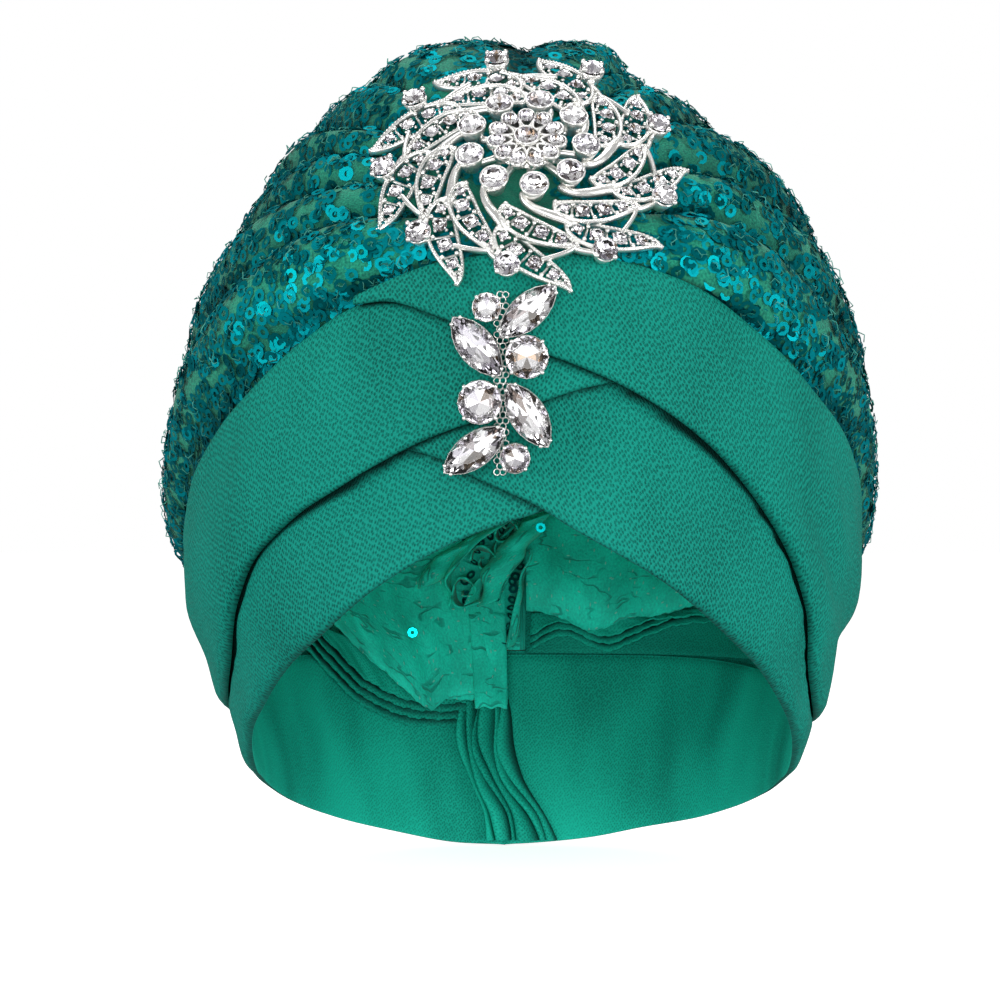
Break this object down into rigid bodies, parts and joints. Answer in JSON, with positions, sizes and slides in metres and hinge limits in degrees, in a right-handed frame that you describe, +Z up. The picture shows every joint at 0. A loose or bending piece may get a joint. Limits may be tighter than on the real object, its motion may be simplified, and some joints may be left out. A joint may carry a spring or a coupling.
{
  "type": "turban cap",
  "caption": "Ready-made turban cap of gathered sequin cloth over crossed crepe bands, with a silver leaf brooch and a hanging strip of clear stones.",
  "frame": {"origin": "middle of the head opening on the mid-plane, level with the highest point of the front edge", "axes": "+X to the right as seen from the front, +Y to the back of the head, +Z up; the wearer faces -Y"},
  "size_m": [0.2102, 0.2449, 0.2446],
  "materials": {
    "sequin_cloth": "sequins sewn on knit",
    "sequin_cloth_back": "knit, wrong side with thread stitches",
    "crepe_cloth": "pebbled stretch crepe",
    "silver_metal": "bright cast silver tone",
    "crystal": "clear cut, foil backed"
  },
  "bodies": {
    "root": {"crown": "sequin_cloth", "right_upper_band": "crepe_cloth", "left_upper_band": "crepe_cloth", "right_lower_band": "crepe_cloth", "left_lower_band": "crepe_cloth", "left_crown_flap": "sequin_cloth_back", "left_band_flap": "crepe_cloth", "right_crown_flap": "sequin_cloth_back", "right_band_flap": "crepe_cloth", "crown_gather": "sequin_cloth_back", "back_seam_pleats": "crepe_cloth", "brooch_frame": "silver_metal", "brooch_pin": "silver_metal", "brooch_inner_stone_1": "crystal", "brooch_outer_stone_1": "crystal", "brooch_inner_stone_2": "crystal", "brooch_outer_stone_2": "crystal", "brooch_inner_stone_3": "crystal", "brooch_outer_stone_3": "crystal", "brooch_inner_stone_4": "crystal", "brooch_outer_stone_4": "crystal", "brooch_inner_stone_5": "crystal", "brooch_outer_stone_5": "crystal", "brooch_inner_stone_6": "crystal", "brooch_outer_stone_6": "crystal", "brooch_inner_stone_7": "crystal", "brooch_outer_stone_7": "crystal", "brooch_inner_stone_8": "crystal", "brooch_outer_stone_8": "crystal", "brooch_inner_stone_9": "crystal", "brooch_outer_stone_9": "crystal", "brooch_petal_stone_1": "crystal", "brooch_petal_stone_2": "crystal", "brooch_petal_stone_3": "crystal", "brooch_petal_stone_4": "crystal", "brooch_petal_stone_5": "crystal", "brooch_petal_stone_6": "crystal", "brooch_petal_stone_7": "crystal", "brooch_petal_stone_8": "crystal", "brooch_petal_stone_9": "crystal", "brooch_petal_stone_10": "crystal", "brooch_petal_stone_11": "crystal", "brooch_centre_stone": "crystal", "strip_base": "silver_metal", "strip_small_stone_top": "crystal", "strip_long_stone_1": "crystal", "strip_long_stone_2": "crystal", "strip_round_stone_1": "crystal", "strip_round_stone_2": "crystal", "strip_long_stone_3": "crystal", "strip_long_stone_4": "crystal", "strip_small_stone_bottom": "crystal"}
  },
  "joints": []
}
